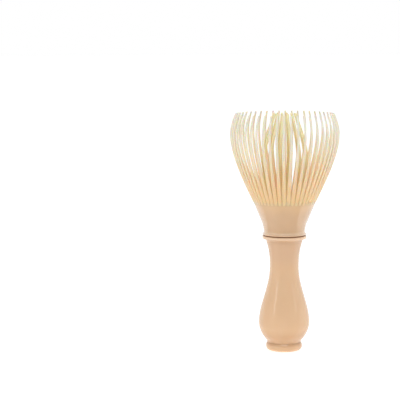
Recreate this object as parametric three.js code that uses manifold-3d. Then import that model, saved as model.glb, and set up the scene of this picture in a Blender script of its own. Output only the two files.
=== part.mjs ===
// A tea whisk moulded in plastic: a turned hollow handle with a foot cap, and a push-on head with an outer
// ring of slender tines and an inner cage of bowed tines. Millimetres, +Z up, the foot stands on Z = 0 and
// the whisk's axis is Z. Each tine is a piece of its own, because each one bends at its root.

import * as THREE from "three";
import { mergeVertices } from "three/addons/utils/BufferGeometryUtils.js";
import Module from "manifold-3d";

// ---- Driving dimensions -------------------------------------------------------------------------------

const CLEARANCE = 0.3; // between two pieces that seat on or in each other
const ROUND_SEGMENTS = 48; // facets around every turned piece

// Foot cap
const FOOT_RADIUS = 12.9; // widest place of the foot ring
const FOOT_FLAT_RADIUS = 9.8; // the flat face that stands on the table
const FOOT_HEIGHT = 5.6; // table to the groove
const GROOVE_RADIUS = 12.1; // where the foot ring meets the handle
const GROOVE_TOP = 7.4; // where the belly swells out of the groove
const PLUG_RADIUS = 8.8;
const PLUG_LENGTH = 7;
const PLUG_WALL = 1.8;

// Handle
const HANDLE_TOP = 83.1; // top face of the flange, above the table
const BELLY_RADIUS = 18.1;
const BELLY_HEIGHT = 20.5;
const WAIST_RADIUS = 10.3;
const WAIST_HEIGHT = 61;
const FLANGE_RADIUS = 15.7;
const FLANGE_OVERHANG = 2.6; // how far the flange stands out from the handle
const FLANGE_THICKNESS = 2.4;
const FLANGE_CHAMFER = 1.2; // height of the cone under the flange
const HANDLE_WALL = 2.4;
const FACE_ROUNDING = 0.4; // small edges of flange and lip

// Push fit between the head and the handle
const SPIGOT_RADIUS = 7.2;
const SPIGOT_LENGTH = 17;
const SPIGOT_WALL = 1.9;
const SPIGOT_LEAD_IN = 1.2;

// Tine head
const LIP_SETBACK = 0.1; // how much smaller the lip is than the flange it seats on
const LIP_THICKNESS = 1.1;
const LIP_OVERHANG = 1; // how far the lip stands out from the neck
const NECK_WALL = 1.8;
const NECK_FLARE = 0.7; // how much wider the neck is at its top
const NECK_HEIGHT = 5.9; // lip to the start of the skirt
const NECK_BLEND = 2; // height over which the neck turns into the skirt, each way
const SKIRT_SLOPE = 0.42; // growth of radius for each millimetre of height
const SKIRT_HEIGHT = 15.6; // neck to the rim that carries the tines
const SKIRT_WALL = 2;
const FLOOR_THICKNESS = 4; // between the lip's underside and the skirt's cup

// Outer tines
const OUTER_COUNT = 48;
const OUTER_WIDTH = 1.9; // across the tine, above its foot
const OUTER_TIP_WIDTH = 1.3;
const OUTER_TIP_THICKNESS = 1.1; // the tine's foot is as thick as the skirt
const OUTER_SLOPE = 0.5; // how a tine leaves the rim, a little flatter than the skirt
const OUTER_FOOT_HEIGHT = 3.5; // the stretch that narrows from the skirt to the tine's width
const BULGE_RADIUS = 38.9; // widest place of the whole whisk
const BULGE_DROP = 14.8; // from the tips down to the widest place
const OUTER_TIP_RADIUS = 35.2;
const TOTAL_HEIGHT = 170;

// Insert and inner tines
const STEM_LENGTH = 11;
const INSERT_WALL = 1.9;
const INSERT_HEIGHT = 13.7; // floor of the skirt's cup to the insert's rim
const INNER_COUNT = 14;
const INNER_WIDTH = 2.3;
const INNER_TIP_WIDTH = 1.6;
const INNER_TIP_THICKNESS = 1.1;
const INNER_BULGE_RADIUS = 16.7;
const INNER_BULGE_DROP = 31.5;
const INNER_TIP_RADIUS = 8.4;
const WEB_HEIGHT = 2; // root web that joins two neighbouring inner tines

// ---- Values worked out from them ----------------------------------------------------------------------

const HEAD_BORE_RADIUS = SPIGOT_RADIUS - SPIGOT_WALL; // through the spigot and the floor above it
const HANDLE_BORE_RADIUS = SPIGOT_RADIUS + CLEARANCE;
const HANDLE_BORE_DEPTH = SPIGOT_LENGTH + 2;
const HANDLE_BOTTOM = FOOT_HEIGHT + CLEARANCE;
const FOOT_BORE_RADIUS = PLUG_RADIUS + CLEARANCE;
const THROAT_RADIUS = FLANGE_RADIUS - FLANGE_OVERHANG;
const THROAT_HEIGHT = HANDLE_TOP - FLANGE_THICKNESS - FLANGE_CHAMFER;

const HEAD_BOTTOM = HANDLE_TOP + CLEARANCE;
const NECK_BOTTOM = HEAD_BOTTOM + LIP_THICKNESS;
const NECK_TOP = NECK_BOTTOM + NECK_HEIGHT;
const LIP_RADIUS = FLANGE_RADIUS - LIP_SETBACK;
const NECK_RADIUS = LIP_RADIUS - LIP_OVERHANG;
const NECK_TOP_RADIUS = NECK_RADIUS + NECK_FLARE;
const RIM_HEIGHT = NECK_TOP + SKIRT_HEIGHT;
const SKIRT_LEAN = Math.atan(SKIRT_SLOPE);
const CUP_FLOOR = HEAD_BOTTOM + FLOOR_THICKNESS;
const CUP_RADIUS = NECK_RADIUS - NECK_WALL;

const INSERT_BOTTOM = CUP_FLOOR + CLEARANCE;
const INSERT_TOP = INSERT_BOTTOM + INSERT_HEIGHT;
const INSERT_RADIUS = CUP_RADIUS - CLEARANCE;
const STEM_RADIUS = HEAD_BORE_RADIUS - CLEARANCE;

const BULGE_HEIGHT = TOTAL_HEIGHT - BULGE_DROP;
const INNER_BULGE_HEIGHT = TOTAL_HEIGHT - INNER_BULGE_DROP;

// ---- Colours ------------------------------------------------------------------------------------------

const plastic = (name, color) => new THREE.MeshStandardMaterial({ name, color, roughness: 0.38, metalness: 0 });
const handlePlastic = plastic("handle_plastic", 0xddba96);
const headPlastic = plastic("head_plastic", 0xe6c39b);
const tinePlastic = plastic("tine_plastic", 0xecd2a4);
const innerPlastic = plastic("inner_plastic", 0xe3c489);

// ---- Helpers ------------------------------------------------------------------------------------------

// A turned piece from a closed outline of radius and height
function turned(outline) {
  const geometry = new THREE.LatheGeometry(outline, ROUND_SEGMENTS);
  return geometry.rotateX(Math.PI / 2);
}

const point = (radius, height) => new THREE.Vector2(radius, height);

// Radius of the skirt's outer face at a height, on its straight cone
const skirtRadius = (height) => NECK_TOP_RADIUS + SKIRT_SLOPE * (height - NECK_TOP);

// Outside radius of the handle between the groove and the flange
function handleRadius(height) {
  if (height < BELLY_HEIGHT) {
    const u = Math.max(0, height - GROOVE_TOP) / (BELLY_HEIGHT - GROOVE_TOP);
    return GROOVE_RADIUS + (BELLY_RADIUS - GROOVE_RADIUS) * Math.sin((u * Math.PI) / 2) ** 0.75;
  }
  if (height < WAIST_HEIGHT) {
    const u = ((height - BELLY_HEIGHT) / (WAIST_HEIGHT - BELLY_HEIGHT)) ** 0.92;
    return WAIST_RADIUS + (BELLY_RADIUS - WAIST_RADIUS) * (0.5 + 0.5 * Math.cos(u * Math.PI));
  }
  const u = (height - WAIST_HEIGHT) / (THROAT_HEIGHT - WAIST_HEIGHT);
  return WAIST_RADIUS + (THROAT_RADIUS - WAIST_RADIUS) * u ** 2.2;
}

// Points along the handle's outside from one height to another, moved in by a wall
function handleSide(from, to, steps, wall) {
  const points = [];
  for (let i = 0; i <= steps; i++) {
    const height = THREE.MathUtils.lerp(from, to, i / steps);
    points.push(point(handleRadius(height) - wall, height));
  }
  return points;
}

function namedMesh(name, geometry, material) {
  const mesh = new THREE.Mesh(geometry, material);
  mesh.name = name;
  return mesh;
}

// ---- Turned pieces ------------------------------------------------------------------------------------

function footCap() {
  const ring = new THREE.Path();
  ring.moveTo(0, 0);
  ring.lineTo(FOOT_FLAT_RADIUS, 0);
  ring.quadraticCurveTo(FOOT_RADIUS, 0, FOOT_RADIUS, FOOT_HEIGHT * 0.6);
  ring.quadraticCurveTo(FOOT_RADIUS, FOOT_HEIGHT * 0.85, GROOVE_RADIUS, FOOT_HEIGHT);
  const top = FOOT_HEIGHT + PLUG_LENGTH;
  const inside = PLUG_RADIUS - PLUG_WALL;
  return turned([
    ...ring.getPoints(4),
    point(PLUG_RADIUS, FOOT_HEIGHT),
    point(PLUG_RADIUS, top),
    point(inside, top),
    point(inside, PLUG_WALL),
    point(0, PLUG_WALL),
  ]);
}

function handle() {
  const cavityBottom = FOOT_HEIGHT + PLUG_LENGTH + CLEARANCE;
  const cavityTop = HANDLE_TOP - HANDLE_BORE_DEPTH - HANDLE_WALL;
  const flangeBottom = HANDLE_TOP - FLANGE_THICKNESS;
  return turned([
    point(FOOT_BORE_RADIUS, HANDLE_BOTTOM),
    point(GROOVE_RADIUS, HANDLE_BOTTOM),
    ...handleSide(GROOVE_TOP, BELLY_HEIGHT, 6, 0),
    ...handleSide(BELLY_HEIGHT, WAIST_HEIGHT, 9, 0).slice(1),
    ...handleSide(WAIST_HEIGHT, THROAT_HEIGHT, 4, 0).slice(1),
    point(FLANGE_RADIUS - FACE_ROUNDING, flangeBottom),
    point(FLANGE_RADIUS, flangeBottom + FACE_ROUNDING),
    point(FLANGE_RADIUS, HANDLE_TOP - FACE_ROUNDING),
    point(FLANGE_RADIUS - FACE_ROUNDING, HANDLE_TOP),
    point(HANDLE_BORE_RADIUS, HANDLE_TOP),
    point(HANDLE_BORE_RADIUS, HANDLE_TOP - HANDLE_BORE_DEPTH),
    ...handleSide(cavityTop, cavityBottom, 8, HANDLE_WALL),
    point(FOOT_BORE_RADIUS, cavityBottom),
    point(FOOT_BORE_RADIUS, HANDLE_BOTTOM),
  ]);
}

function headHub() {
  const spigotEnd = HEAD_BOTTOM - SPIGOT_LENGTH;
  const rimInner = skirtRadius(RIM_HEIGHT) - SKIRT_WALL * Math.cos(SKIRT_LEAN);
  const rimDrop = SKIRT_WALL * Math.sin(SKIRT_LEAN);
  const skirtStart = NECK_TOP + NECK_BLEND;
  return turned([
    point(HEAD_BORE_RADIUS, CUP_FLOOR),
    point(HEAD_BORE_RADIUS, spigotEnd),
    point(SPIGOT_RADIUS - SPIGOT_LEAD_IN / 2, spigotEnd),
    point(SPIGOT_RADIUS, spigotEnd + SPIGOT_LEAD_IN),
    point(SPIGOT_RADIUS, HEAD_BOTTOM),
    point(LIP_RADIUS - FACE_ROUNDING, HEAD_BOTTOM),
    point(LIP_RADIUS, HEAD_BOTTOM + FACE_ROUNDING),
    point(LIP_RADIUS, NECK_BOTTOM - FACE_ROUNDING),
    point(NECK_RADIUS, NECK_BOTTOM),
    point(THREE.MathUtils.lerp(NECK_RADIUS, NECK_TOP_RADIUS, 0.6), NECK_TOP - NECK_BLEND),
    point(NECK_TOP_RADIUS + NECK_BLEND * 0.06, NECK_TOP),
    point(skirtRadius(skirtStart), skirtStart),
    point(skirtRadius(RIM_HEIGHT), RIM_HEIGHT),
    point(rimInner, RIM_HEIGHT + rimDrop),
    point(CUP_RADIUS, NECK_TOP),
    point(CUP_RADIUS, CUP_FLOOR),
    point(HEAD_BORE_RADIUS, CUP_FLOOR),
  ]);
}

function insertHub() {
  const stemEnd = INSERT_BOTTOM - STEM_LENGTH;
  const inside = INSERT_RADIUS - INSERT_WALL;
  return turned([
    point(0, stemEnd),
    point(STEM_RADIUS, stemEnd),
    point(STEM_RADIUS, INSERT_BOTTOM),
    point(INSERT_RADIUS, INSERT_BOTTOM),
    point(INSERT_RADIUS, INSERT_TOP),
    point(inside, INSERT_TOP),
    point(inside, INSERT_BOTTOM + INSERT_WALL),
    point(0, INSERT_BOTTOM + INSERT_WALL),
  ]);
}

// ---- Tines --------------------------------------------------------------------------------------------

// One tine lying in the plane of X and Z: its outer face follows the curve, its thickness and its width
// change along it. widthAt gives the width at a height.
function tineGeometry(curve, steps, rootThickness, tipThickness, widthAt) {
  const outer = [];
  const inner = [];
  for (let i = 0; i <= steps; i++) {
    const t = i / steps;
    const at = curve.getPoint(t);
    const along = curve.getTangent(t);
    const thickness = THREE.MathUtils.lerp(rootThickness, tipThickness, t);
    outer.push(at);
    inner.unshift(point(at.x - along.y * thickness, at.y + along.x * thickness));
  }
  const last = curve.getTangent(1);
  const end = curve.getPoint(1);
  const reach = TOTAL_HEIGHT - end.y;
  const nose = point(
    end.x - (last.y * tipThickness) / 2 + (last.x * reach) / last.y,
    TOTAL_HEIGHT,
  );
  const outline = new THREE.Shape([...outer, nose, ...inner]);
  const geometry = new THREE.ExtrudeGeometry(outline, { depth: 1, bevelEnabled: false });
  geometry.rotateX(Math.PI / 2);
  geometry.translate(0, 0.5, 0);
  const position = geometry.attributes.position;
  for (let i = 0; i < position.count; i++) {
    position.setY(i, position.getY(i) * widthAt(position.getZ(i)));
  }
  return geometry;
}

// The outer face of a tine: it leaves its root in a given direction, bulges and turns in to its tip
function tineCurve(root, slope, rise, bulge, curl, tip, tipPull) {
  const path = new THREE.CurvePath();
  path.add(new THREE.CubicBezierCurve(
    root,
    point(root.x + slope * rise, root.y + rise),
    point(bulge.x, THREE.MathUtils.lerp(bulge.y, root.y, curl)),
    bulge,
  ));
  path.add(new THREE.CubicBezierCurve(
    bulge,
    point(bulge.x, THREE.MathUtils.lerp(bulge.y, tip.y, 0.3 + curl / 3)),
    tipPull,
    tip,
  ));
  return path;
}

function outerTine() {
  const root = point(
    skirtRadius(RIM_HEIGHT) + CLEARANCE * Math.sin(SKIRT_LEAN),
    RIM_HEIGHT + CLEARANCE * Math.cos(SKIRT_LEAN),
  );
  const tipHeight = TOTAL_HEIGHT - OUTER_TIP_THICKNESS / 2;
  const length = BULGE_HEIGHT - root.y;
  const curve = tineCurve(
    root,
    OUTER_SLOPE,
    length * 0.2,
    point(BULGE_RADIUS, BULGE_HEIGHT),
    0.32,
    point(OUTER_TIP_RADIUS, tipHeight),
    point(
      THREE.MathUtils.lerp(OUTER_TIP_RADIUS, BULGE_RADIUS, 0.45),
      THREE.MathUtils.lerp(tipHeight, BULGE_HEIGHT, 0.23),
    ),
  );
  const innerEdge = root.x - SKIRT_WALL * Math.cos(SKIRT_LEAN);
  const footWidth = 2 * innerEdge * Math.tan(Math.PI / OUTER_COUNT) - CLEARANCE;
  const widthAt = (height) => {
    const foot = THREE.MathUtils.smoothstep(height, root.y, root.y + OUTER_FOOT_HEIGHT);
    const tip = THREE.MathUtils.smoothstep(height, BULGE_HEIGHT - 20, TOTAL_HEIGHT);
    const tapered = THREE.MathUtils.lerp(OUTER_WIDTH, OUTER_TIP_WIDTH, tip);
    return THREE.MathUtils.lerp(footWidth, tapered, foot);
  };
  return tineGeometry(curve, 12, SKIRT_WALL, OUTER_TIP_THICKNESS, widthAt);
}

function innerTine() {
  const root = point(INSERT_RADIUS, INSERT_TOP + CLEARANCE);
  const tipHeight = TOTAL_HEIGHT - INNER_TIP_THICKNESS / 2;
  const length = INNER_BULGE_HEIGHT - root.y;
  const curve = tineCurve(
    root,
    0,
    length * 0.5,
    point(INNER_BULGE_RADIUS, INNER_BULGE_HEIGHT),
    0.3,
    point(INNER_TIP_RADIUS, tipHeight),
    point(
      THREE.MathUtils.lerp(INNER_TIP_RADIUS, INNER_BULGE_RADIUS, 0.45),
      THREE.MathUtils.lerp(tipHeight, INNER_BULGE_HEIGHT, 0.35),
    ),
  );
  const widthAt = (height) => {
    const tip = THREE.MathUtils.smoothstep(height, INNER_BULGE_HEIGHT, TOTAL_HEIGHT);
    return THREE.MathUtils.lerp(INNER_WIDTH, INNER_TIP_WIDTH, tip);
  };
  return tineGeometry(curve, 10, INSERT_WALL, INNER_TIP_THICKNESS, widthAt);
}

// The arc that joins the roots of two neighbouring inner tines
function rootWeb() {
  const half = Math.PI / INNER_COUNT;
  const arc = new THREE.Shape();
  arc.absarc(0, 0, INSERT_RADIUS - 0.1, -half, half, false);
  arc.absarc(0, 0, INSERT_RADIUS - INSERT_WALL + 0.1, half, -half, true);
  const geometry = new THREE.ExtrudeGeometry(arc, {
    depth: WEB_HEIGHT,
    bevelEnabled: false,
    curveSegments: 3,
  });
  return geometry.translate(0, 0, INSERT_TOP + CLEARANCE);
}

// ---- Joining solids -----------------------------------------------------------------------------------

const wasm = await Module();
wasm.setup();

function solid(geometry) {
  const bare = geometry.clone();
  bare.deleteAttribute("normal");
  bare.deleteAttribute("uv");
  const merged = mergeVertices(bare, 1e-4);
  return new wasm.Manifold(new wasm.Mesh({
    numProp: 3,
    vertProperties: new Float32Array(merged.attributes.position.array),
    triVerts: new Uint32Array(merged.index.array),
  }));
}

function toGeometry(manifold) {
  const mesh = manifold.getMesh();
  const geometry = new THREE.BufferGeometry();
  geometry.setAttribute("position", new THREE.BufferAttribute(mesh.vertProperties, 3));
  geometry.setIndex(new THREE.BufferAttribute(mesh.triVerts, 1));
  geometry.computeVertexNormals();
  return geometry;
}

function innerTinePair() {
  const half = Math.PI / INNER_COUNT;
  const tine = innerTine();
  const left = solid(tine.clone().rotateZ(half));
  const right = solid(tine.clone().rotateZ(-half));
  return toGeometry(left.add(right).add(solid(rootWeb())));
}

// ---- The whisk ----------------------------------------------------------------------------------------

const group = new THREE.Group();
group.add(namedMesh("foot_cap", footCap(), handlePlastic));
group.add(namedMesh("handle", handle(), handlePlastic));
group.add(namedMesh("tine_head_hub", headHub(), headPlastic));
group.add(namedMesh("insert_hub", insertHub(), innerPlastic));

// Copies around the axis, the first one a share of a pitch from +X
function ring(prefix, count, start, geometry, material) {
  for (let i = 0; i < count; i++) {
    const number = String(i + 1).padStart(2, "0");
    const mesh = namedMesh(`${prefix}_${number}`, geometry, material);
    mesh.rotation.z = ((i + start) / count) * Math.PI * 2;
    group.add(mesh);
  }
}

ring("outer_tine", OUTER_COUNT, 0.5, outerTine(), tinePlastic);
ring("inner_tine_pair", INNER_COUNT / 2, 0.25, innerTinePair(), innerPlastic);

export default group;
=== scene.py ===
# %% [markdown]
# # A moulded tea whisk, from its frame to its finish
# The whisk is moulded in polypropylene: a turned, hollow handle with a foot cap, and a head that is pushed
# on to it. The head carries 48 slender outer tines, and an insert inside it carries 14 bowed ones. The
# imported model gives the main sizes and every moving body, and the cells below make the fine surfaces over it.
#
# The whisk stands upright on Z, with its foot on Z = 0. Blender works in metres.

import math

import bmesh
import bpy
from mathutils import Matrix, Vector


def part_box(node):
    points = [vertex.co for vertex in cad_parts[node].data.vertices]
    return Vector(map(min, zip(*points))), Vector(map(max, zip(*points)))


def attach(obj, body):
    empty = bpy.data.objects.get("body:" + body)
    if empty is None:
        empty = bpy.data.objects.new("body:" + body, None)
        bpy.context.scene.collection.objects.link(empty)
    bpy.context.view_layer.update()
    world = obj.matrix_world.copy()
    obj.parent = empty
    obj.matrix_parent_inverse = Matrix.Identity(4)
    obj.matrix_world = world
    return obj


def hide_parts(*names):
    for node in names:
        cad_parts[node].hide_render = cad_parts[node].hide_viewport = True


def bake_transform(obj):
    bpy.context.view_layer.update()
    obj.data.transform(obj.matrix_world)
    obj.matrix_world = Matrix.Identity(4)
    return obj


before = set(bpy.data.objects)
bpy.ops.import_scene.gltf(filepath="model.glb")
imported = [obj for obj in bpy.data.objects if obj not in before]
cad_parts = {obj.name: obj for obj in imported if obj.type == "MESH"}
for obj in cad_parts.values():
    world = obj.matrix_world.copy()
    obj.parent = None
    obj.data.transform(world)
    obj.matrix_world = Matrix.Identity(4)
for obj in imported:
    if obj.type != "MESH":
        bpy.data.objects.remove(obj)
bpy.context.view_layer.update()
MM = 0.001

# %% [markdown]
# ## Sizes that the pieces share
# A maker reads the big sizes off the pieces that exist, and adds the ones that a box around a piece can't
# tell: where the groove, the belly, the waist and the throat lie, and the hair-thin gap where two mouldings
# meet.

# %% Sizes, in metres
_, foot_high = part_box("foot_cap")
handle_low, handle_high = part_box("handle")
hub_low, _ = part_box("tine_head_hub")
insert_low, insert_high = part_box("insert_hub")
_, tine_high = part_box("outer_tine_01")

FOOT_RADIUS = foot_high.x
GROOVE_RADIUS = 12.1 * MM
GROOVE_TOP = 7.4 * MM
FOOT_FLAT = 9.8 * MM
BELLY_RADIUS = handle_high.x
BELLY_HEIGHT = 20.5 * MM
WAIST_RADIUS = 10.3 * MM
WAIST_HEIGHT = 61.0 * MM
FLANGE_RADIUS = 15.7 * MM
THROAT_RADIUS = FLANGE_RADIUS - 2.6 * MM
HANDLE_TOP = handle_high.z
FLANGE_BOTTOM = HANDLE_TOP - 2.4 * MM
THROAT_HEIGHT = FLANGE_BOTTOM - 1.2 * MM
GROOVE_HEIGHT = handle_low.z
HAIRLINE = 0.06 * MM
print("handle from", round(handle_low.z, 4), "to", round(HANDLE_TOP, 4))
print("belly radius", round(BELLY_RADIUS, 4))

# %% [markdown]
# ## A lathe for the turned pieces
# The handle, the foot cap, the hub and the insert are all round. Spinning a flat outline around the axis is
# the digital lathe. Blender has a Spin tool and a Screw modifier, and a short function that lays the rings
# by hand gives closed poles and quads that follow the outline, with nothing to merge afterwards.

# %% A function that turns an outline into a closed piece
ROUND_STEPS = 144


def turned(name, outline, steps=ROUND_STEPS):
    """A closed mesh from a closed outline of (radius, height). Points on the axis become poles."""
    vertices = []
    rings = []
    for radius, height in outline:
        if radius < 1e-6:
            rings.append([len(vertices)] * steps)
            vertices.append((0.0, 0.0, height))
            continue
        rings.append(list(range(len(vertices), len(vertices) + steps)))
        for i in range(steps):
            angle = 2 * math.pi * i / steps
            vertices.append((radius * math.cos(angle), radius * math.sin(angle), height))
    faces = []
    closed_on_itself = outline[0][0] > 1e-6
    pairs = list(zip(rings, rings[1:] + rings[:1])) if closed_on_itself else list(zip(rings, rings[1:]))
    for low, high in pairs:
        for i in range(steps):
            j = (i + 1) % steps
            corners = [low[i], low[j], high[j], high[i]]
            face = list(dict.fromkeys(corners))
            if len(face) > 2:
                faces.append(face)
    mesh = bpy.data.meshes.new(name)
    mesh.from_pydata(vertices, [], faces)
    finish_mesh(mesh)
    piece = bpy.data.objects.new(name, mesh)
    bpy.context.scene.collection.objects.link(piece)
    print(f"{name}: {len(mesh.polygons)} faces")
    return piece


def finish_mesh(mesh, crease=40):
    """Faces outwards, smooth shading, and a hard edge where two faces meet at a sharp angle."""
    work = bmesh.new()
    work.from_mesh(mesh)
    bmesh.ops.recalc_face_normals(work, faces=work.faces)
    if work.calc_volume(signed=True) < 0:
        bmesh.ops.reverse_faces(work, faces=work.faces)
    for face in work.faces:
        face.smooth = True
    for edge in work.edges:
        edge.smooth = len(edge.link_faces) < 2 or edge.calc_face_angle(0) < math.radians(crease)
    work.to_mesh(mesh)
    work.free()


def arc(centre, radius, start, end, steps=6):
    """Points of (radius, height) along a round corner, from one angle to another in degrees."""
    points = []
    for i in range(steps + 1):
        angle = math.radians(start + (end - start) * i / steps)
        points.append((centre[0] + radius * math.cos(angle), centre[1] + radius * math.sin(angle)))
    return points


def curve_through(start, handle_a, handle_b, end, steps=10):
    """Points along a Bezier curve between two places of an outline."""
    points = []
    for i in range(steps + 1):
        t = i / steps
        weights = ((1 - t) ** 3, 3 * t * (1 - t) ** 2, 3 * t * t * (1 - t), t**3)
        corners = (start, handle_a, handle_b, end)
        points.append(tuple(sum(w * c[axis] for w, c in zip(weights, corners)) for axis in (0, 1)))
    return points


# %% [markdown]
# ## The foot cap
# The foot is a ring with a soft bead shape. It closes the hollow handle from below and seats in it with a
# plug. Its underside is flat, because the whisk stands on it, with a small round mark in the middle where
# the plastic entered the mould.

# %% Foot cap
BORE_GAP = 0.3 * MM
PLUG_RADIUS = 8.8 * MM
PLUG_WALL = 1.8 * MM
GATE_RADIUS = 1.6 * MM
GATE_DEPTH = 0.35 * MM
FOOT_EDGE = 0.12 * MM


def foot_outline():
    top = GROOVE_HEIGHT - HAIRLINE
    bead = (FOOT_RADIUS, top * 0.58)
    lower = curve_through((FOOT_FLAT, 0), (FOOT_RADIUS - 1.2 * MM, 0), (FOOT_RADIUS, top * 0.2), bead, 14)
    upper = curve_through(
        bead,
        (FOOT_RADIUS, top * 0.8),
        (GROOVE_RADIUS + 0.3 * MM, top * 0.88),
        (GROOVE_RADIUS, top - FOOT_EDGE),
        10,
    )
    edge = arc((GROOVE_RADIUS - FOOT_EDGE, top - FOOT_EDGE), FOOT_EDGE, 0, 90, 4)
    gate = [(0, GATE_DEPTH), (GATE_RADIUS * 0.8, GATE_DEPTH), (GATE_RADIUS, 0.0)]
    inner = PLUG_RADIUS - PLUG_WALL
    plug = [
        (PLUG_RADIUS, top),
        (PLUG_RADIUS, foot_high.z - 0.6 * MM),
        (PLUG_RADIUS - 0.5 * MM, foot_high.z),
        (inner, foot_high.z),
        (inner, PLUG_WALL),
        (0, PLUG_WALL),
    ]
    return gate + lower + upper[1:] + edge[1:] + plug


foot_cap = turned("foot_cap_fine", foot_outline())

# %% [markdown]
# ## The handle
# The handle has the outline of a turned baluster: full at the belly, slim at the waist, and widening again
# under a flange. Three short rules give that outline, one for each stretch, so the curve has no kinks where
# they meet. The inside is hollow, with a straight bore at the top for the head's spigot.

# %% Handle
BORE_RADIUS = 7.5 * MM
BORE_DEPTH = 19 * MM
HANDLE_WALL = 2.4 * MM
FLANGE_EDGE = 0.55 * MM
FLANGE_TOP_EDGE = 0.8 * MM


def handle_radius(height):
    """Outside radius of the handle between the groove and the flange."""
    if height < BELLY_HEIGHT:
        u = max(0.0, height - GROOVE_TOP) / (BELLY_HEIGHT - GROOVE_TOP)
        return GROOVE_RADIUS + (BELLY_RADIUS - GROOVE_RADIUS) * math.sin(u * math.pi / 2) ** 0.75
    if height < WAIST_HEIGHT:
        u = ((height - BELLY_HEIGHT) / (WAIST_HEIGHT - BELLY_HEIGHT)) ** 0.92
        return WAIST_RADIUS + (BELLY_RADIUS - WAIST_RADIUS) * (0.5 + 0.5 * math.cos(u * math.pi))
    u = (height - WAIST_HEIGHT) / (THROAT_HEIGHT - WAIST_HEIGHT)
    return WAIST_RADIUS + (THROAT_RADIUS - WAIST_RADIUS) * u**2.2


def handle_side(start, end, steps, wall=0.0):
    heights = [start + (end - start) * i / steps for i in range(steps + 1)]
    return [(handle_radius(height) - wall, height) for height in heights]


def handle_outline():
    foot_bore = PLUG_RADIUS + BORE_GAP
    seat = arc((GROOVE_RADIUS - FOOT_EDGE, GROOVE_HEIGHT + FOOT_EDGE), FOOT_EDGE, -90, 0, 4)
    swell = GROOVE_TOP + 1.1 * MM
    cove = curve_through(
        (GROOVE_RADIUS, GROOVE_HEIGHT + FOOT_EDGE),
        (GROOVE_RADIUS, GROOVE_TOP - 0.5 * MM),
        (handle_radius(swell - 0.5 * MM), swell - 0.5 * MM),
        (handle_radius(swell), swell),
        10,
    )
    side = handle_side(swell, THROAT_HEIGHT - 0.5 * MM, 90)
    under = curve_through(
        side[-1],
        (THROAT_RADIUS, THROAT_HEIGHT + 0.2 * MM),
        (FLANGE_RADIUS - 1.5 * MM, FLANGE_BOTTOM - 0.3 * MM),
        (FLANGE_RADIUS - FLANGE_EDGE, FLANGE_BOTTOM),
        8,
    )
    rim = arc((FLANGE_RADIUS - FLANGE_EDGE, FLANGE_BOTTOM + FLANGE_EDGE), FLANGE_EDGE, -90, 0)
    top = arc((FLANGE_RADIUS - FLANGE_TOP_EDGE, HANDLE_TOP - FLANGE_TOP_EDGE), FLANGE_TOP_EDGE, 0, 90, 8)
    mouth = arc((BORE_RADIUS + 0.3 * MM, HANDLE_TOP - 0.3 * MM), 0.3 * MM, 90, 180, 3)
    bore_end = HANDLE_TOP - BORE_DEPTH
    hollow = handle_side(bore_end - HANDLE_WALL, foot_high.z + BORE_GAP, 30, HANDLE_WALL)
    inside = [(BORE_RADIUS, bore_end), *hollow, (foot_bore, foot_high.z + BORE_GAP)]
    outside = [*seat, *cove[1:], *side[1:], *under[1:], *rim[1:], *top]
    return [(foot_bore, GROOVE_HEIGHT), *outside, *mouth, *inside]


handle = turned("handle_fine", handle_outline())

# %% [markdown]
# ## The tine head's hub
# The hub is one moulding with the outer tines: a lip that seats on the flange, a straight neck, and a
# skirt that opens as a cone. Its rim is drawn up to where the slots between the tines end, so each tine
# grows out of the skirt with no step. Below the lip a spigot holds it in the handle.

# %% Hub of the head
LIP_BOTTOM = HANDLE_TOP + BORE_GAP
LIP_RADIUS = FLANGE_RADIUS - 0.1 * MM
LIP_TOP = LIP_BOTTOM + 1.1 * MM
NECK_RADIUS = LIP_RADIUS - 1.0 * MM
NECK_TOP = LIP_TOP + 5.9 * MM
NECK_TOP_RADIUS = NECK_RADIUS + 0.7 * MM
SKIRT_SLOPE = 0.42
SKIRT_WALL = 2.0 * MM
SLOT_END = 108.3 * MM
SPIGOT_RADIUS = BORE_RADIUS - BORE_GAP
HEAD_BORE = SPIGOT_RADIUS - 1.9 * MM
CUP_RADIUS = insert_high.x + BORE_GAP
CUP_FLOOR = LIP_BOTTOM + 4.0 * MM
LIP_EDGE = 0.35 * MM


def skirt_radius(height):
    """Radius of the skirt's outer face at a height."""
    return NECK_TOP_RADIUS + SKIRT_SLOPE * (height - NECK_TOP)


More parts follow.
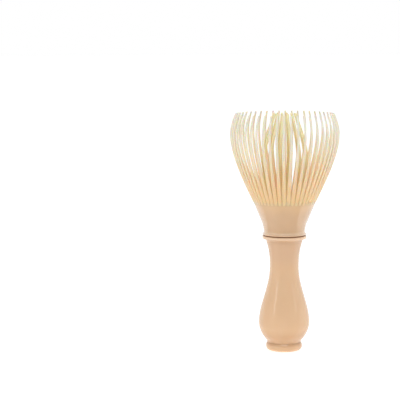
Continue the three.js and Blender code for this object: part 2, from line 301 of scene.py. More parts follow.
def hub_outline():
    lean = math.atan(SKIRT_SLOPE)
    across = SKIRT_WALL / math.cos(lean)
    spigot = [
        (HEAD_BORE, hub_low.z),
        (SPIGOT_RADIUS - 0.6 * MM, hub_low.z),
        (SPIGOT_RADIUS, hub_low.z + 1.2 * MM),
        (SPIGOT_RADIUS, LIP_BOTTOM),
    ]
    lip_low = arc((LIP_RADIUS - LIP_EDGE, LIP_BOTTOM + LIP_EDGE), LIP_EDGE, -90, 0)
    lip_high = arc((LIP_RADIUS - LIP_EDGE, LIP_TOP - LIP_EDGE), LIP_EDGE, 0, 55)
    neck = curve_through(
        lip_high[-1],
        (NECK_RADIUS + 0.45 * MM, LIP_TOP + 0.05 * MM),
        (NECK_RADIUS, LIP_TOP + 0.3 * MM),
        (NECK_RADIUS + 0.08 * MM, LIP_TOP + 1.8 * MM),
        10,
    )
    flare_end = NECK_TOP + 2.4 * MM
    flare = curve_through(
        neck[-1],
        (NECK_TOP_RADIUS - 0.25 * MM, NECK_TOP - 1.4 * MM),
        (skirt_radius(NECK_TOP + 0.4 * MM), NECK_TOP + 0.4 * MM),
        (skirt_radius(flare_end), flare_end),
        16,
    )
    skirt = [(skirt_radius(h), h) for h in (97 * MM, 101 * MM, 105 * MM, SLOT_END - 0.5 * MM)]
    rim_middle = (skirt_radius(SLOT_END) - across / 2, SLOT_END - 0.2 * MM)
    rim = curve_through(
        skirt[-1],
        (skirt[-1][0] + 0.15 * MM, SLOT_END + 0.1 * MM),
        (rim_middle[0] - 0.9 * MM, SLOT_END + 0.5 * MM),
        (skirt_radius(SLOT_END) - across, SLOT_END - 0.4 * MM),
        8,
    )
    cup = [(CUP_RADIUS, NECK_TOP), (CUP_RADIUS, CUP_FLOOR), (HEAD_BORE, CUP_FLOOR)]
    return [*spigot, *lip_low, *lip_high, *neck[1:], *flare[1:], *skirt, *rim[1:], *cup]


hub = turned("tine_head_fine", hub_outline())

# %% [markdown]
# ## The insert
# The inner tines can't be moulded in one shot with the outer ring, so they have a hub of their own: a cup
# with a stem that is pressed into the head. Only its rim shows between the tines.

# %% Hub of the insert
INSERT_RADIUS = insert_high.x
INSERT_WALL = 1.9 * MM
INSERT_FLOOR = CUP_FLOOR + BORE_GAP
INSERT_RIM = insert_high.z + 0.6 * MM
STEM_RADIUS = HEAD_BORE - BORE_GAP


def insert_outline():
    inner = INSERT_RADIUS - INSERT_WALL
    edge = INSERT_WALL / 2
    rim = arc((INSERT_RADIUS - edge, INSERT_RIM - edge), edge, 0, 180, 12)
    fillet = arc((inner - 1.2 * MM, INSERT_FLOOR + INSERT_WALL + 1.2 * MM), 1.2 * MM, 0, -90, 5)
    return [
        (0, insert_low.z),
        (STEM_RADIUS - 0.5 * MM, insert_low.z),
        (STEM_RADIUS, insert_low.z + 0.8 * MM),
        (STEM_RADIUS, INSERT_FLOOR),
        (INSERT_RADIUS - 0.4 * MM, INSERT_FLOOR),
        (INSERT_RADIUS, INSERT_FLOOR + 0.4 * MM),
        *rim,
        *fillet,
        (0, INSERT_FLOOR + INSERT_WALL),
    ]


insert = turned("insert_fine", insert_outline(), 96)

# %% [markdown]
# ## The line of a tine
# Seen from the side, a tine is one smooth line: it leaves the rim along the skirt, swings out to its widest
# place and turns in again to its tip. Three Bezier points draw it. The line lies in the plane of X and Z,
# and runs through the middle of the tine's thickness.

# %% Side line of a tine
TIP_HEIGHT = tine_high.z


def side_line(name, points):
    """A curve from (radius, height) points, each with the handle before and after it, in metres."""
    data = bpy.data.curves.new(name, "CURVE")
    data.dimensions = "3D"
    data.resolution_u = 48
    spline = data.splines.new("BEZIER")
    spline.bezier_points.add(len(points) - 1)
    for bezier, (before, at, after) in zip(spline.bezier_points, points):
        bezier.handle_left_type = "FREE"
        bezier.handle_right_type = "FREE"
        bezier.co = (at[0], 0, at[1])
        bezier.handle_left = (before[0], 0, before[1])
        bezier.handle_right = (after[0], 0, after[1])
    line = bpy.data.objects.new(name, data)
    bpy.context.scene.collection.objects.link(line)
    return line


def mm(*values):
    return tuple(value * MM for value in values)


OUTER_ROOT = SLOT_END - 4.4 * MM
outer_root_radius = skirt_radius(OUTER_ROOT) - 1.25 * MM
outer_line = side_line(
    "outer_tine_line",
    [
        ((outer_root_radius, OUTER_ROOT), (outer_root_radius, OUTER_ROOT), mm(25.6, 116.1)),
        (mm(38.2, 139.5), mm(38.2, 155.2), mm(38.2, 161.0)),
        (mm(36.3, 165.9), mm(34.6, 169.85), mm(34.6, 169.85)),
    ],
)
INNER_ROOT = insert_high.z - 1.2 * MM
inner_line = side_line(
    "inner_tine_line",
    [
        (mm(11.35, 100.1), (11.35 * MM, INNER_ROOT), mm(11.3, 121.0)),
        (mm(15.95, 127.5), mm(15.95, 138.5), mm(15.95, 147.6)),
        (mm(11.5, 158.8), mm(7.85, 169.85), mm(7.85, 169.85)),
    ],
)
print("tine lines drawn, tips at", round(TIP_HEIGHT, 4))

# %% [markdown]
# ## Geometry nodes, a few helpers
# The whisk has 62 tines that follow one rule, which is what Geometry Nodes are for. The tree is easier to
# read with a few small helpers: one adds a node and fills its sockets, one does arithmetic on fields, and
# others carry a value from one range to another, in a straight line or in a smooth step.

# %% Helpers to build node trees


def add_node(tree, kind, settings=None, **inputs):
    """Add a node, set its properties, and link or set its inputs by name or number."""
    node = tree.nodes.new(kind)
    for key, value in (settings or {}).items():
        setattr(node, key, value)
    for key, value in inputs.items():
        place = int(key[1:]) if key[0] == "i" and key[1:].isdigit() else key.replace("_", " ")
        connect(tree, value, node.inputs[place])
    return node


def connect(tree, value, socket):
    """Link an output to a socket, or set the socket's own value."""
    if isinstance(value, bpy.types.NodeSocket):
        tree.links.new(value, socket)
    elif value is not None:
        socket.default_value = value


def maths(tree, operation, a, b=None, c=None):
    node = add_node(tree, "ShaderNodeMath", {"operation": operation}, i0=a, i1=b, i2=c)
    return node.outputs[0]


def map_range(tree, kind, value, low, high, to_low=0.0, to_high=1.0):
    """Carry a value from one range to another, and hold it at both ends."""
    node = tree.nodes.new("ShaderNodeMapRange")
    node.interpolation_type = kind
    for name, source in (
        ("Value", value), ("From Min", low), ("From Max", high), ("To Min", to_low), ("To Max", to_high),
    ):
        connect(tree, source, node.inputs[name])
    return node.outputs["Result"]


def smooth_step(tree, *values):
    return map_range(tree, "SMOOTHSTEP", *values)


def limited(tree, *values):
    return map_range(tree, "LINEAR", *values)


def mix_values(tree, share, a, b):
    node = add_node(tree, "ShaderNodeMix", {"data_type": "FLOAT"}, i0=share, i2=a, i3=b)
    return node.outputs[0]


# %% [markdown]
# ## The tine tree
# The tree takes the side line and does what a mould maker does. It samples points along the line, closer
# together at the foot and the nose, where the shape turns quickly. It sweeps a rounded section along them,
# thinner towards the tip. It gives the section its width: nearly a whole pitch at the foot, so that two
# neighbours leave a rounded slot between them, then the tine's own width. Last, it sets copies around the
# axis, and keeps only those that belong to one moving body.

# %% Build the tine tree
CROWDING = 0.86  # how much closer the points stand at the foot and the nose, from 0 to 1
NOSE_END = 0.985  # the nose stops a little short of a point, so that its cap stays a clean face
CORNER_ROUND = 0.3  # a share of the section's side
CORNER_STEPS = 3
TREE_INPUTS = [
    ("Steps", "NodeSocketInt", 84),
    ("Count", "NodeSocketInt", 48),
    ("First", "NodeSocketFloat", 0.5),
    ("Per Piece", "NodeSocketInt", 1),
    ("Piece", "NodeSocketInt", 0),
    ("Foot Thickness", "NodeSocketFloat", 0.002),
    ("Tip Thickness", "NodeSocketFloat", 0.0011),
    ("Width", "NodeSocketFloat", 0.002),
    ("Tip Width", "NodeSocketFloat", 0.0013),
    ("Foot Share", "NodeSocketFloat", 0.97),
    ("Foot Low", "NodeSocketFloat", 0.107),
    ("Foot High", "NodeSocketFloat", 0.133),
    ("Taper From", "NodeSocketFloat", 0.45),
    ("Nose", "NodeSocketFloat", 0.0006),
    ("Sway", "NodeSocketFloat", 0.0002),
    ("Seed", "NodeSocketInt", 7),
    ("Finish", "NodeSocketMaterial", None),
]


def start_tree(name, inputs):
    tree = bpy.data.node_groups.new(name, "GeometryNodeTree")
    tree.interface.new_socket("Geometry", in_out="INPUT", socket_type="NodeSocketGeometry")
    for label, kind, value in inputs:
        socket = tree.interface.new_socket(label, in_out="INPUT", socket_type=kind)
        if value is not None:
            socket.default_value = value
    tree.interface.new_socket("Geometry", in_out="OUTPUT", socket_type="NodeSocketGeometry")
    return tree, tree.nodes.new("NodeGroupInput").outputs, tree.nodes.new("NodeGroupOutput").inputs


def sampled_line(tree, given):
    """Points along the side line, with how far along they are kept as an attribute."""
    points = add_node(tree, "GeometryNodeMeshLine", Count=given["Steps"])
    number = tree.nodes.new("GeometryNodeInputIndex").outputs[0]
    last = maths(tree, "SUBTRACT", given["Steps"], 1.0)
    even = maths(tree, "DIVIDE", number, last)
    wave = maths(tree, "SINE", maths(tree, "MULTIPLY", even, 2 * math.pi))
    crowded = maths(tree, "MULTIPLY_ADD", wave, -CROWDING / (2 * math.pi), even)
    sample = tree.nodes.new("GeometryNodeSampleCurve")
    sample.mode = "FACTOR"
    sample.use_all_curves = True
    tree.links.new(given["Geometry"], sample.inputs["Curves"])
    tree.links.new(crowded, sample.inputs["Factor"])
    kept = add_node(
        tree, "GeometryNodeStoreNamedAttribute", {"data_type": "FLOAT", "domain": "POINT"},
        Geometry=points.outputs[0], Name="along", Value=crowded,
    )
    placed = add_node(
        tree, "GeometryNodeSetPosition", Geometry=kept.outputs[0], Position=sample.outputs["Position"],
    )
    return add_node(tree, "GeometryNodeMeshToCurve", Mesh=placed.outputs[0]).outputs[0]


def position(tree):
    return tree.nodes.new("GeometryNodeInputPosition").outputs[0]


def along_tine(tree):
    return add_node(
        tree, "GeometryNodeInputNamedAttribute", {"data_type": "FLOAT"}, Name="along",
    ).outputs[0]


def swept_section(tree, given, line):
    """A rounded square swept along the line, as thick as the tine is there, with a round nose."""
    along = along_tine(tree)
    thickness = mix_values(tree, along, given["Foot Thickness"], given["Tip Thickness"])
    height = add_node(tree, "ShaderNodeSeparateXYZ", Vector=position(tree))
    below_tip = maths(tree, "SUBTRACT", TIP_HEIGHT, height.outputs["Z"])
    into_nose = maths(tree, "DIVIDE", below_tip, given["Nose"])
    open_nose = maths(tree, "SUBTRACT", 1.0, maths(tree, "MINIMUM", into_nose, 1.0))
    squared = maths(tree, "MINIMUM", maths(tree, "POWER", open_nose, 2.0), NOSE_END)
    round_off = maths(tree, "SQRT", maths(tree, "SUBTRACT", 1.0, squared))
    radius = maths(tree, "MULTIPLY", thickness, round_off)
    sized = add_node(tree, "GeometryNodeSetCurveRadius", Curve=line, Radius=radius)
    square = add_node(tree, "GeometryNodeCurvePrimitiveQuadrilateral", Width=1.0, Height=1.0)
    rounded = tree.nodes.new("GeometryNodeFilletCurve")
    rounded.mode = "POLY"
    tree.links.new(square.outputs[0], rounded.inputs["Curve"])
    rounded.inputs["Count"].default_value = CORNER_STEPS
    rounded.inputs["Radius"].default_value = CORNER_ROUND
    swept = tree.nodes.new("GeometryNodeCurveToMesh")
    tree.links.new(sized.outputs[0], swept.inputs["Curve"])
    tree.links.new(rounded.outputs[0], swept.inputs["Profile Curve"])
    tree.links.new(radius, swept.inputs["Scale"])
    swept.inputs["Fill Caps"].default_value = True
    return swept.outputs[0]


def set_width(tree, given, mesh):
    """Scale the section sideways: a wedge that fills the pitch at the foot, then the tine's width."""
    along = along_tine(tree)
    thickness = mix_values(tree, along, given["Foot Thickness"], given["Tip Thickness"])
    at = add_node(tree, "ShaderNodeSeparateXYZ", Vector=position(tree))
    half_pitch = maths(tree, "TANGENT", maths(tree, "DIVIDE", math.pi, given["Count"]))
    pitch = maths(tree, "MULTIPLY", maths(tree, "MULTIPLY", at.outputs["X"], 2.0), half_pitch)
    foot_width = maths(tree, "MULTIPLY", pitch, given["Foot Share"])
    tip_share = smooth_step(tree, along, given["Taper From"], 1.0)
    body_width = mix_values(tree, tip_share, given["Width"], given["Tip Width"])
    up_foot = smooth_step(tree, at.outputs["Z"], given["Foot Low"], given["Foot High"])
    width = mix_values(tree, up_foot, foot_width, body_width)
    sideways = maths(tree, "MULTIPLY", at.outputs["Y"], maths(tree, "DIVIDE", width, thickness))
    chance = add_node(
        tree, "FunctionNodeRandomValue", {"data_type": "FLOAT"}, ID=given["Piece"], Seed=given["Seed"],
    )
    chance.inputs[2].default_value = -1.0
    chance.inputs[3].default_value = 1.0
    most = maths(tree, "MULTIPLY", chance.outputs[1], given["Sway"])
    lean = maths(tree, "MULTIPLY", most, maths(tree, "POWER", along, 2.0))
    across = maths(tree, "ADD", sideways, lean)
    moved = add_node(tree, "ShaderNodeCombineXYZ", X=at.outputs["X"], Y=across, Z=at.outputs["Z"])
    return add_node(tree, "GeometryNodeSetPosition", Geometry=mesh, Position=moved.outputs[0]).outputs[0]


def set_around(tree, given, tine):
    """Copies of the tine around the axis, only those of the piece that is asked for."""
    spots = add_node(tree, "GeometryNodePoints", Count=given["Count"])
    number = tree.nodes.new("GeometryNodeInputIndex").outputs[0]
    piece = maths(tree, "FLOOR", maths(tree, "DIVIDE", number, given["Per Piece"]))
    mine = maths(tree, "COMPARE", piece, given["Piece"], 0.1)
    step = maths(tree, "DIVIDE", 2 * math.pi, given["Count"])
    turn = maths(tree, "MULTIPLY", maths(tree, "ADD", number, given["First"]), step)
    rotation = add_node(tree, "ShaderNodeCombineXYZ", Z=turn)
    return add_node(
        tree, "GeometryNodeInstanceOnPoints",
        Points=spots.outputs[0], Selection=mine, Instance=tine, Rotation=rotation.outputs[0],
    ).outputs[0]


def tine_tree():
    tree, given, result = start_tree("tine", TREE_INPUTS)
    swept = swept_section(tree, given, sampled_line(tree, given))
    around = set_around(tree, given, set_width(tree, given, swept))
    real = add_node(tree, "GeometryNodeRealizeInstances", Geometry=around)
    smooth = add_node(tree, "GeometryNodeSetShadeSmooth", Geometry=real.outputs[0])
    finished = add_node(tree, "GeometryNodeSetMaterial", Geometry=smooth.outputs[0], Material=given["Finish"])
    tree.links.new(finished.outputs[0], result["Geometry"])
    print("tine tree:", len(tree.nodes), "nodes")
    return tree


TINE_TREE = tine_tree()

# %% [markdown]
# ## What moulded polypropylene looks like
# Polypropylene is a soft, slightly waxy plastic. Light goes a little way into it, its shine is satin unless
# the mould was polished, and a moulded face shows faint flow streaks along the way the plastic ran and a
# very fine texture left by the mould. Several finishes share that, so it is one node group with its own
# inputs.

# %% Helpers for materials


def start_group(name, inputs, outputs):
    group = bpy.data.node_groups.new(name, "ShaderNodeTree")
    for label, kind, value in inputs:
        socket = group.interface.new_socket(label, in_out="INPUT", socket_type=kind)
        socket.default_value = value
    for label, kind in outputs:
        group.interface.new_socket(label, in_out="OUTPUT", socket_type=kind)
    return group, group.nodes.new("NodeGroupInput").outputs, group.nodes.new("NodeGroupOutput").inputs


def place(tree):
    """The piece's own coordinates, in metres."""
    return tree.nodes.new("ShaderNodeTexCoord").outputs["Object"]


def noise(tree, vector, scale, detail=3.0, roughness=0.5):
    node = add_node(
        tree, "ShaderNodeTexNoise", {"noise_dimensions": "3D"},
        Vector=vector, Scale=scale, Detail=detail, Roughness=roughness,
    )
    return node.outputs["Fac"]


def stretched(tree, vector, x, y, z):
    node = tree.nodes.new("ShaderNodeMapping")
    tree.links.new(vector, node.inputs["Vector"])
    node.inputs["Scale"].default_value = (x, y, z)
    return node.outputs["Vector"]


def mix_colours(tree, share, a, b):
    node = tree.nodes.new("ShaderNodeMix")
    node.data_type = "RGBA"
    connect(tree, share, node.inputs[0])
    connect(tree, a, node.inputs[6])
    connect(tree, b, node.inputs[7])
    return node.outputs[2]


def rgb(red, green, blue):
    """A colour from the 0 to 255 values of a paint card, as Blender's linear light."""
    linear = []
    for value in (red, green, blue):
        share = value / 255
        linear.append(share / 12.92 if share <= 0.04045 else ((share + 0.055) / 1.055) ** 2.4)
    return (*linear, 1.0)


# %% The moulded surface, as a group


def moulded_group():
    group, given, result = start_group(
        "moulded surface",
        [
            ("Colour", "NodeSocketColor", (0.7, 0.5, 0.3, 1)),
            ("Deep Colour", "NodeSocketColor", (0.6, 0.4, 0.25, 1)),
            ("Cloud Size", "NodeSocketFloat", 55.0),
            ("Streaks", "NodeSocketFloat", 0.12),
            ("Smooth", "NodeSocketFloat", 0.22),
            ("Rough", "NodeSocketFloat", 0.34),
        ],
        [("Colour", "NodeSocketColor"), ("Roughness", "NodeSocketFloat"), ("Height", "NodeSocketFloat")],
    )
    spot = place(group)
    clouds = limited(group, noise(group, spot, given["Cloud Size"], 3.0), 0.35, 0.68)
    flow = limited(group, noise(group, stretched(group, spot, 420, 420, 22), 1.0, 4.0), 0.4, 0.72)
    streaks = maths(group, "MULTIPLY", flow, given["Streaks"])
    depth = maths(group, "MULTIPLY_ADD", clouds, 0.55, streaks)
    colour = mix_colours(group, maths(group, "MINIMUM", depth, 1.0), given["Colour"], given["Deep Colour"])
    group.links.new(colour, result["Colour"])
    patches = noise(group, spot, 34.0, 1.0)
    group.links.new(mix_values(group, patches, given["Smooth"], given["Rough"]), result["Roughness"])
    grain = noise(group, spot, 2600.0, 2.0)
    waves = noise(group, spot, 140.0, 1.0)
    height = maths(group, "MULTIPLY_ADD", waves, 1.2, grain)
    group.links.new(height, result["Height"])
    print("moulded surface:", len(group.nodes), "nodes")
    return group


MOULDED = moulded_group()

# %% [markdown]
# ## Masks for shade, seams and the parting line
# Painted shade gathers in the groove and in the seam under the lip, painted highlights sit on the flange's
# rim and the lip, and the skirt turns more golden towards its rim. All are a matter of height on a piece that
# stands on Z, so one small group gives a soft band around a height, and another gives a soft rise between two
# heights. The painted shade of the seam may only show at its edge, not on the flat faces that a pulled-off
# head uncovers, so a third group marks what lies at a radius.
# The fourth draws the fine line that a mould in two halves leaves.

# %% The masks, as groups


def band_group():
    group, given, result = start_group(
        "band at a height",
        [("Height", "NodeSocketFloat", 0.0), ("Reach", "NodeSocketFloat", 0.001)],
        [("Mask", "NodeSocketFloat")],
    )
    z = add_node(group, "ShaderNodeSeparateXYZ", Vector=place(group)).outputs["Z"]
    away = maths(group, "ABSOLUTE", maths(group, "SUBTRACT", z, given["Height"]))
    group.links.new(smooth_step(group, away, 0.0, given["Reach"], 1.0, 0.0), result["Mask"])
    return group


def rise_group():
    group, given, result = start_group(
        "rise between heights",
        [("Low", "NodeSocketFloat", 0.0), ("High", "NodeSocketFloat", 0.1)],
        [("Mask", "NodeSocketFloat")],
    )
    spot = place(group)
    z = add_node(group, "ShaderNodeSeparateXYZ", Vector=spot).outputs["Z"]
    uneven = maths(group, "MULTIPLY", maths(group, "SUBTRACT", noise(group, spot, 70.0, 2.0), 0.5), 0.012)
    group.links.new(
        smooth_step(group, maths(group, "ADD", z, uneven), given["Low"], given["High"]), result["Mask"]
    )
    return group


def parting_group():
    """A fine raised line where the two halves of the mould met, in the plane of X and Z."""
    group, given, result = start_group(
        "mould parting line",
        [("Width", "NodeSocketFloat", 0.00016)],
        [("Mask", "NodeSocketFloat")],
    )
    at = add_node(group, "ShaderNodeSeparateXYZ", Vector=place(group))
    aside = maths(group, "ABSOLUTE", at.outputs["Y"])
    group.links.new(smooth_step(group, aside, 0.0, given["Width"], 1.0, 0.0), result["Mask"])
    return group


def edge_group():
    """The outermost ring of a turned piece, so that the painted shade at a seam doesn't run in under the
    flange.
    """
    group, given, result = start_group(
        "outer edge",
        [("Radius", "NodeSocketFloat", 0.01), ("Reach", "NodeSocketFloat", 0.001)],
        [("Mask", "NodeSocketFloat")],
    )
    at = add_node(group, "ShaderNodeSeparateXYZ", Vector=place(group)).outputs
    squares = maths(group, "MULTIPLY_ADD", at["X"], at["X"], maths(group, "MULTIPLY", at["Y"], at["Y"]))
    inwards = maths(group, "SUBTRACT", given["Radius"], maths(group, "SQRT", squares))
    group.links.new(smooth_step(group, inwards, 0.0, given["Reach"], 1.0, 0.0), result["Mask"])
    return group


BAND = band_group()
EDGE = edge_group()
RISE = rise_group()
PARTING = parting_group()
print("masks ready:", [group.name for group in (BAND, EDGE, RISE, PARTING)])

# %% [markdown]
# ## A finish from the shared parts
# Every finish on the whisk starts the same way: the moulded group gives colour, roughness and height, and
# a Principled shader takes them. What differs is the colour, how far light goes in, and the masks on top.

# %% One function that starts a plastic finish


def use_group(tree, group, **inputs):
    node = tree.nodes.new("ShaderNodeGroup")
    node.node_tree = group
    for key, value in inputs.items():
        connect(tree, value, node.inputs[key.replace("_", " ")])
    return node


def plastic(name, colour, deep, smooth=0.2, rough=0.3, glow=0.12, clouds=55.0, streaks=0.1):
    """A material with its moulded group and its Principled shader, ready for masks."""
    material = bpy.data.materials.new(name)
    material.use_nodes = True
    tree = material.node_tree
    shader = tree.nodes["Principled BSDF"]
    moulded = use_group(
        tree, MOULDED,
        Colour=colour, Deep_Colour=deep, Cloud_Size=clouds, Streaks=streaks, Smooth=smooth, Rough=rough,
    )
    shader.inputs["IOR"].default_value = 1.49
    shader.inputs["Subsurface Weight"].default_value = glow
    shader.inputs["Subsurface Radius"].default_value = (1.0, 0.62, 0.36)
    shader.inputs["Subsurface Scale"].default_value = 0.0022
    bump = tree.nodes.new("ShaderNodeBump")
    bump.inputs["Strength"].default_value = 0.25
    bump.inputs["Distance"].default_value = 0.00002
    tree.links.new(moulded.outputs["Roughness"], shader.inputs["Roughness"])
    tree.links.new(bump.outputs["Normal"], shader.inputs["Normal"])
    return material, tree, shader, moulded.outputs, bump


def tinted(tree, colour, tints):
    """Lay one tint after another over a colour, each where its mask is and as strong as its share."""
    for mask, share, tint in tints:
        colour = mix_colours(tree, maths(tree, "MULTIPLY", mask, share), colour, tint)
    return colour


def settle(tree, shader, colour, height, bump):
    tree.links.new(colour, shader.inputs["Base Color"])
    tree.links.new(height, bump.inputs["Height"])


# %% [markdown]
# ## Handle finish
# The handle is a warm tan with a satin shine. Its thickness makes it look a little deeper in colour than
# the tines. Painted shade sits in the groove above the foot, over the lower belly and under the flange, the
# upper half is painted a touch darker and redder as shade, the foot's bottom edge and the flange's rim carry
# a paler painted highlight, a brown line of painted shade lies in the seam on top, and a hair-thin parting
# line runs up both sides.

# %% Handle finish
SHADE = rgb(186, 138, 98)
# painted shade for the seams where the head meets the handle
PAINTED_SEAM_SHADE = rgb(158, 92, 46)


def handle_finish():
    material, tree, shader, moulded, bump = plastic(
        "handle plastic", rgb(232, 194, 156), rgb(227, 187, 148), smooth=0.13, rough=0.18,
    )

    def band(height, reach):
        return use_group(tree, BAND, Height=height, Reach=reach).outputs[0]

    # painted shade: the upper handle under the head is painted a touch darker
    upper = use_group(tree, RISE, Low=WAIST_HEIGHT - 4 * MM, High=WAIST_HEIGHT + 12 * MM).outputs[0]
    # painted shade: the lower belly over the foot is painted darker
    painted_shade_under_belly = band(GROOVE_HEIGHT + 4 * MM, 8 * MM)
    groove = band(GROOVE_HEIGHT - 0.4 * MM, 1.9 * MM)
    throat = band(THROAT_HEIGHT + 0.4 * MM, 1.6 * MM)
    # painted highlights: the flange's rim, which faces the light above, and the foot's bottom edge, lit by the
    # table, are painted paler
    rim = maths(tree, "MULTIPLY", band(FLANGE_BOTTOM + 1.0 * MM, 1.1 * MM), 0.85)
    painted_light_sole = maths(tree, "MULTIPLY", band(0.3 * MM, 1.6 * MM), 0.45)
    edge = use_group(tree, EDGE, Radius=FLANGE_RADIUS - 0.3 * MM, Reach=1.2 * MM).outputs[0]
    # painted shade: a brown line in the seam on top of the flange, only at its outer edge
    seam = maths(tree, "MULTIPLY", band(HANDLE_TOP, 0.55 * MM), edge)
    colour = tinted(tree, moulded["Colour"], [
        (upper, 0.7, rgb(222, 184, 151)),
        (painted_shade_under_belly, 0.6, rgb(212, 170, 132)),
        (groove, 0.32, SHADE),
        (throat, 0.25, SHADE),
        (maths(tree, "ADD", rim, painted_light_sole), 1.0, rgb(250, 218, 186)),
        (seam, 0.85, PAINTED_SEAM_SHADE),
    ])
    line = use_group(tree, PARTING).outputs[0]
    height = maths(tree, "MULTIPLY_ADD", line, 1.4, moulded["Height"])
    settle(tree, shader, colour, height, bump)
    return material


HANDLE_FINISH = handle_finish()

# %% [markdown]
# ## Head finish
# The head is the same plastic, from a mould with a higher polish, so it gets a thin clear coat that mirrors
# the tent sharply. A brown line of painted shade lies in the seam under the lip, the foot of the neck is
# painted paler as a highlight, and the colour warms towards the rim, where the skirt passes into the tines.

# %% Head finish
GOLDEN_FROM = 96 * MM


def head_finish():
    material, tree, shader, moulded, bump = plastic(
        "head plastic", rgb(222, 186, 150), rgb(217, 179, 142), smooth=0.06, rough=0.1, glow=0.14,
    )
    # painted highlight: the lip's top and the foot of the neck are painted paler
    painted_highlight_ledge = use_group(tree, BAND, Height=LIP_TOP + 0.4 * MM, Reach=2.0 * MM).outputs[0]
    golden = use_group(tree, RISE, Low=GOLDEN_FROM, High=GOLDEN_FROM + 12 * MM).outputs[0]
    # painted shade: a brown line in the seam under the lip, only at its outer edge
    painted_shade_under_lip = use_group(tree, BAND, Height=LIP_BOTTOM, Reach=0.5 * MM).outputs[0]
    edge = use_group(tree, EDGE, Radius=LIP_RADIUS - 0.2 * MM, Reach=1.2 * MM).outputs[0]
    colour = tinted(tree, moulded["Colour"], [
        (painted_highlight_ledge, 0.6, rgb(246, 214, 180)),
        (golden, 0.8, rgb(235, 197, 152)),
        (maths(tree, "MULTIPLY", painted_shade_under_lip, edge), 0.8, PAINTED_SEAM_SHADE),
    ])
    shader.inputs["Coat Weight"].default_value = 0.7
    shader.inputs["Coat Roughness"].default_value = 0.03
    settle(tree, shader, colour, moulded["Height"], bump)
    return material


HEAD_FINISH = head_finish()

# %% [markdown]
# ## Tine finishes
# A tine is hardly two millimetres thick, so light passes through it: it looks creamier than the handle, and
# it turns paler and greyer towards its tip. The inner tines see light that has already passed the outer
# ones, and look a stronger gold.

# %% Tine finishes


def tine_finish(name, low_colour, deep_colour, tip_colour, low, high, glow):
    """Paler towards the tip. The share along the tine stays with the tine when it bends or is pulled off."""
    material, tree, shader, moulded, bump = plastic(
        name, low_colour, deep_colour, smooth=0.2, rough=0.32, glow=glow, clouds=38.0, streaks=0.1,
    )
    along = add_node(tree, "ShaderNodeAttribute", {"attribute_name": "along"}).outputs["Fac"]
    uneven = maths(tree, "MULTIPLY", maths(tree, "SUBTRACT", noise(tree, place(tree), 70.0, 2.0), 0.5), 0.15)
    towards_tip = smooth_step(tree, maths(tree, "ADD", along, uneven), low, high)
    colour = tinted(tree, moulded["Colour"], [(towards_tip, 0.9, tip_colour)])
    settle(tree, shader, colour, moulded["Height"], bump)
    return material


OUTER_FINISH = tine_finish(
    "outer tine plastic",
    rgb(245, 210, 162), rgb(240, 202, 153), rgb(248, 241, 229), 0.06, 0.86, 0.85,
)
INNER_FINISH = tine_finish(
    "inner tine plastic",
    rgb(250, 228, 178), rgb(246, 219, 166), rgb(249, 237, 200), 0.25, 1.0, 0.8,
)
print("finishes:", [m.name for m in bpy.data.materials if m.users or m.node_tree])

# %% [markdown]
# ## Run the tine tree once for each moving body
# Each outer tine bends by itself, so each is a piece of its own. The inner tines move in pairs. The tree
# runs once for each piece, its result becomes a plain mesh, and the modifier goes away again.

# %% Make the tines


def tine_piece(name, line, **sizes):
    """One piece from the tine tree, as a plain mesh."""
    modifier = line.modifiers.new("tine", "NODES")
    modifier.node_group = TINE_TREE
    for socket in TINE_TREE.interface.items_tree:
        key = socket.name.replace(" ", "_")
        if socket.in_out == "INPUT" and key in sizes:
            modifier[socket.identifier] = sizes[key]
    line.update_tag()
    scene_state = bpy.context.evaluated_depsgraph_get()
    mesh = bpy.data.meshes.new_from_object(line.evaluated_get(scene_state), depsgraph=scene_state)
    line.modifiers.remove(modifier)
    mesh.name = name
    finish_mesh(mesh, 75)
    piece = bpy.data.objects.new(name, mesh)
    bpy.context.scene.collection.objects.link(piece)
    return piece


OUTER_COUNT = len([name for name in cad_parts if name.startswith("outer_tine_")])
PAIR_COUNT = len([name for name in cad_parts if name.startswith("inner_tine_pair_")])
outer_tines = []
for i in range(OUTER_COUNT):
    outer_tines.append(tine_piece(
        f"outer_tine_fine_{i + 1:02d}", outer_line,
        Count=OUTER_COUNT, First=0.5, Piece=i, Finish=OUTER_FINISH,
    ))
inner_pairs = []
for i in range(PAIR_COUNT):
    inner_pairs.append(tine_piece(
        f"inner_pair_fine_{i + 1:02d}", inner_line,
        Count=2 * PAIR_COUNT, First=0.0, Per_Piece=2, Piece=i, Finish=INNER_FINISH, Steps=76,
        Foot_Thickness=1.8 * MM, Tip_Thickness=1.15 * MM, Width=2.3 * MM, Tip_Width=1.6 * MM,
        Foot_Share=0.7, Foot_Low=insert_high.z - 0.4 * MM, Foot_High=insert_high.z + 6 * MM,
    ))
for line in (outer_line, inner_line):
    bpy.data.objects.remove(line)
print("outer tines:", len(outer_tines), "with", len(outer_tines[0].data.polygons), "faces each")
print("inner pairs:", len(inner_pairs), "with", len(inner_pairs[0].data.polygons), "faces each")

# %% [markdown]
# ## Finishes, and bodies for the turned pieces
# Every fine piece takes its finish and hides the imported part that it stands for. The handle and its cap
# stay still and go on the handle's body; the hub and the insert go on the head's, which can be pulled off.
# A tine bends out of the head and doesn't turn about a pin: its foot stays with the skirt, its tip moves, and
# the stretch between them bends. Here no body takes the tines: each is only baked where the tree built it.


def dress(piece, finish, slot, *nodes):
    piece.data.materials.clear()
    piece.data.materials.append(finish)
    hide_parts(*nodes)


dress(foot_cap, HANDLE_FINISH, "handle_plastic", "foot_cap")
dress(handle, HANDLE_FINISH, "handle_plastic", "handle")
dress(hub, HEAD_FINISH, "head_plastic", "tine_head_hub")
dress(insert, INNER_FINISH, "inner_plastic", "insert_hub")
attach(foot_cap, "handle")
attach(handle, "handle")
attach(hub, "tine_head")
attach(insert, "tine_head")


def around(angle, radius, height):
    return (radius * math.cos(angle), radius * math.sin(angle), height)


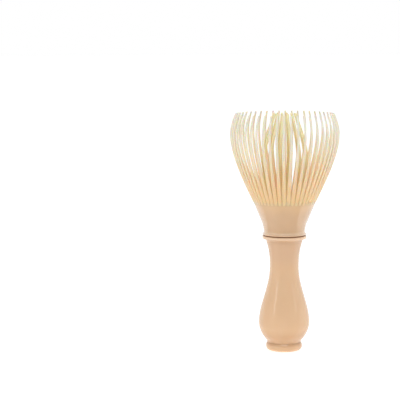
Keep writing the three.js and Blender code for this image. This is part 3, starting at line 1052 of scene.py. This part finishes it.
for i, piece in enumerate(outer_tines):
    body = f"outer_tine_{i + 1:02d}"
    dress(piece, OUTER_FINISH, "tine_plastic", body)
    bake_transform(piece)
for i, piece in enumerate(inner_pairs):
    body = f"inner_tine_pair_{i + 1:02d}"
    dress(piece, INNER_FINISH, "inner_plastic", body)
    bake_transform(piece)

# %% [markdown]
# ## Floor, light and camera
# The whisk stands on a white light table in a light tent. The tent glows from behind and from both sides,
# and the side the camera looks through is open and dim. A soft box above the camera lights the front, and
# two narrow ones at the sides draw the fine streaks on the belly.
#
# A smooth round shape mirrors its surroundings, so what it mirrors is set by itself: a dim front, two bright
# sides, and a black card in front of each side. That gives the neck its darker middle and its crisp edges.
# The table is left out of the mirror image, as it would hide the cards.

# %% Floor
TABLE_GLOW = 0.5
TABLE_REACH = 9.0
TABLE_FRONT = -0.35


def floor_finish():
    material = bpy.data.materials.new("light table")
    material.use_nodes = True
    tree = material.node_tree
    shader = tree.nodes["Principled BSDF"]
    cloud = limited(tree, noise(tree, place(tree), 3.0), 0.3, 0.7)
    tree.links.new(
        mix_colours(tree, cloud, (0.88, 0.88, 0.88, 1), (0.9, 0.9, 0.9, 1)), shader.inputs["Base Color"]
    )
    shader.inputs["Roughness"].default_value = 0.7
    shader.inputs["Emission Color"].default_value = (1, 1, 1, 1)
    shader.inputs["Emission Strength"].default_value = TABLE_GLOW
    return material


floor_mesh = bpy.data.meshes.new("floor")
floor_mesh.from_pydata(
    [
        (-TABLE_REACH, TABLE_FRONT, 0), (TABLE_REACH, TABLE_FRONT, 0),
        (TABLE_REACH, TABLE_REACH, 0), (-TABLE_REACH, TABLE_REACH, 0),
    ],
    [], [(0, 1, 2, 3)],
)
floor = bpy.data.objects.new("floor", floor_mesh)
bpy.context.scene.collection.objects.link(floor)
floor.data.materials.append(floor_finish())
floor.visible_glossy = False

# %% The light tent
TENT_GLOW = 0.82
FRONT_GLOW = 0.22
SIDE_GLOW = 1.1
LEFT_GLOW = 0.4  # what the left end of the front adds
SKEW = 0.3  # how far the bright walls are turned around the whisk


def mirrored_tent(tree, x, y):
    """What shiny faces mirror: a dim front, two bright sides, and a black card before each of them."""
    level = maths(tree, "SQRT", maths(tree, "MULTIPLY_ADD", x, x, maths(tree, "MULTIPLY", y, y)))
    aside = maths(tree, "DIVIDE", x, level)
    wall = maths(tree, "MULTIPLY_ADD", aside, SKEW, maths(tree, "DIVIDE", y, level))
    front = smooth_step(tree, aside, -0.95, -0.5, FRONT_GLOW + LEFT_GLOW, FRONT_GLOW)
    lit = mix_values(tree, smooth_step(tree, wall, 0.0, 0.06), front, SIDE_GLOW)
    card = smooth_step(tree, maths(tree, "ABSOLUTE", maths(tree, "ADD", wall, 0.03)), 0.03, 0.08, 1.0, 0.0)
    return mix_values(tree, card, lit, 0.0)


def light_tent():
    world = bpy.data.worlds.new("light tent")
    world.use_nodes = True
    tree = world.node_tree
    background = tree.nodes["Background"]
    towards = add_node(
        tree, "ShaderNodeSeparateXYZ", Vector=tree.nodes.new("ShaderNodeTexCoord").outputs["Generated"],
    ).outputs
    ray = tree.nodes.new("ShaderNodeLightPath").outputs
    soft = smooth_step(tree, towards["Y"], -0.32, -0.12, FRONT_GLOW, TENT_GLOW)
    mirrored = mirrored_tent(tree, towards["X"], towards["Y"])
    glow = mix_values(tree, ray["Is Glossy Ray"], soft, mirrored)
    tree.links.new(mix_values(tree, ray["Is Camera Ray"], glow, 1.0), background.inputs["Strength"])
    background.inputs["Color"].default_value = (1, 1, 1, 1)
    return world


bpy.context.scene.world = light_tent()

# %% Soft lights
WHISK_MIDDLE = Vector((0, 0, 0.085))


def soft_light(name, at, width, height, power):
    """A large white area light that faces the middle of the whisk."""
    data = bpy.data.lights.new(name, "AREA")
    data.shape = "RECTANGLE"
    data.size = width
    data.size_y = height
    data.energy = power
    light = bpy.data.objects.new(name, data)
    bpy.context.scene.collection.objects.link(light)
    light.location = at
    light.rotation_euler = (WHISK_MIDDLE - Vector(at)).to_track_quat("-Z", "Y").to_euler()
    return light


soft_light("left_strip", (-0.68, -0.53, 0.3), 0.13, 0.2, 0.24)
soft_light("right_strip", (0.75, -0.44, 0.3), 0.13, 0.2, 0.17)
soft_light("above_camera", (0.0, -0.85, 1.0), 0.9, 0.6, 6.5)
bpy.context.scene.view_settings.view_transform = "Standard"

# %% Camera
CAMERA_AT = (-0.0598, -1.106, 0.2362)
LENS = 140.8
TILT_DOWN = 6.6  # degrees
ROLL = 0.15
camera_data = bpy.data.cameras.new("camera")
camera_data.lens = LENS
camera_data.sensor_width = 36
camera_data.clip_start = 0.05
camera = bpy.data.objects.new("camera", camera_data)
bpy.context.scene.collection.objects.link(camera)
camera.location = CAMERA_AT
camera.rotation_euler = (math.radians(90 - TILT_DOWN), math.radians(ROLL), 0)
bpy.context.scene.camera = camera
print("camera at", tuple(round(v, 3) for v in camera.location))
